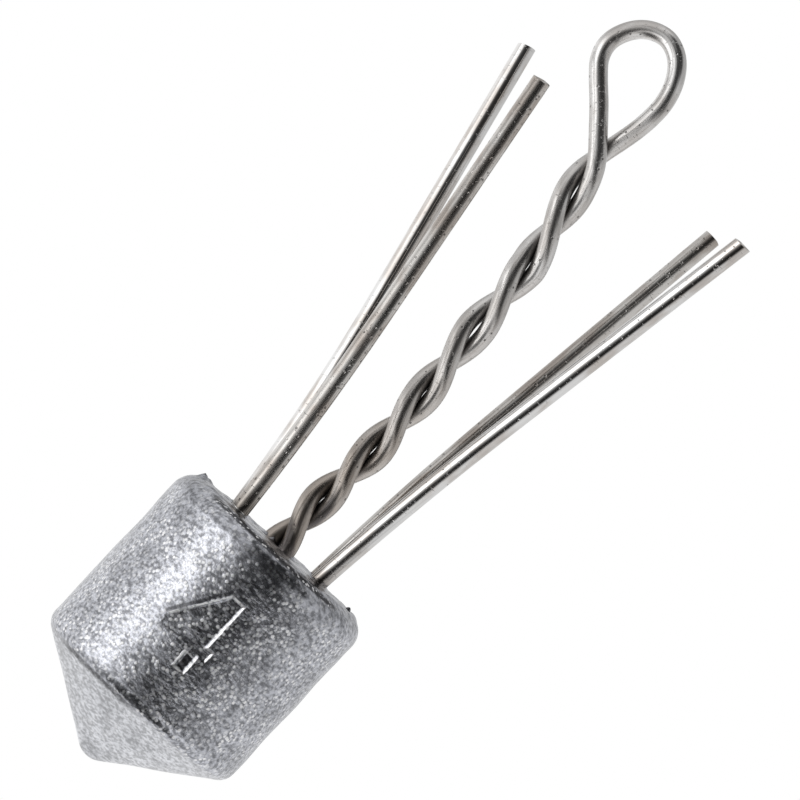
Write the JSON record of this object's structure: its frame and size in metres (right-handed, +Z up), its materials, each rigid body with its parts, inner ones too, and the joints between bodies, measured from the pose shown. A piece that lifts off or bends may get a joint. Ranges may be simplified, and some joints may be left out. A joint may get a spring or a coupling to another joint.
{
  "type": "fishing sinker",
  "caption": "Cast surf sinker: a barrel with a cone nose, a long twisted wire eye, and straight wire legs that bend outward to grip sand.",
  "frame": {"origin": "the inner top of the wire eye, where the line or clip bears", "axes": "+Z up along the casting's axis from its nose to its top face, so the sinker hangs below the origin; the sunk figure faces -Y; +X to the right when the figure is faced"},
  "size_m": [0.0307, 0.0254, 0.0915],
  "materials": {
    "lead": "satin",
    "eye_wire": "satin",
    "bright_wire": "polished",
    "dull_wire": "satin"
  },
  "bodies": {
    "casting": {"lead_casting": "lead", "eye_wire": "eye_wire", "bright_wire_core": "bright_wire", "dull_wire_core": "dull_wire"},
    "bright_leg_left": {"bright_leg_left": "bright_wire"},
    "bright_leg_right": {"bright_leg_right": "bright_wire"},
    "dull_leg_left": {"dull_leg_left": "dull_wire"},
    "dull_leg_right": {"dull_leg_right": "dull_wire"}
  },
  "joints": [
    {"name": "bright_leg_left_bend", "type": "hinge", "parent": "casting", "child": "bright_leg_left", "pos_m": [0.00046, 0.00433, -0.0605], "axis": [-0.6225, -0.7826, 0], "range_deg": [-8.7, 76.3]},
    {"name": "bright_leg_right_bend", "type": "hinge", "parent": "casting", "child": "bright_leg_right", "pos_m": [0.01134, -0.00433, -0.0605], "axis": [0.6225, 0.7826, 0], "range_deg": [-7.4, 77.6]},
    {"name": "dull_leg_left_bend", "type": "hinge", "parent": "casting", "child": "dull_leg_left", "pos_m": [0.00069, -0.00461, -0.0605], "axis": [0.6626, -0.749, 0], "range_deg": [-6.7, 78.3]},
    {"name": "dull_leg_right_bend", "type": "hinge", "parent": "casting", "child": "dull_leg_right", "pos_m": [0.01111, 0.00461, -0.0605], "axis": [-0.6626, 0.749, 0], "range_deg": [-4.9, 80.1]}
  ]
}
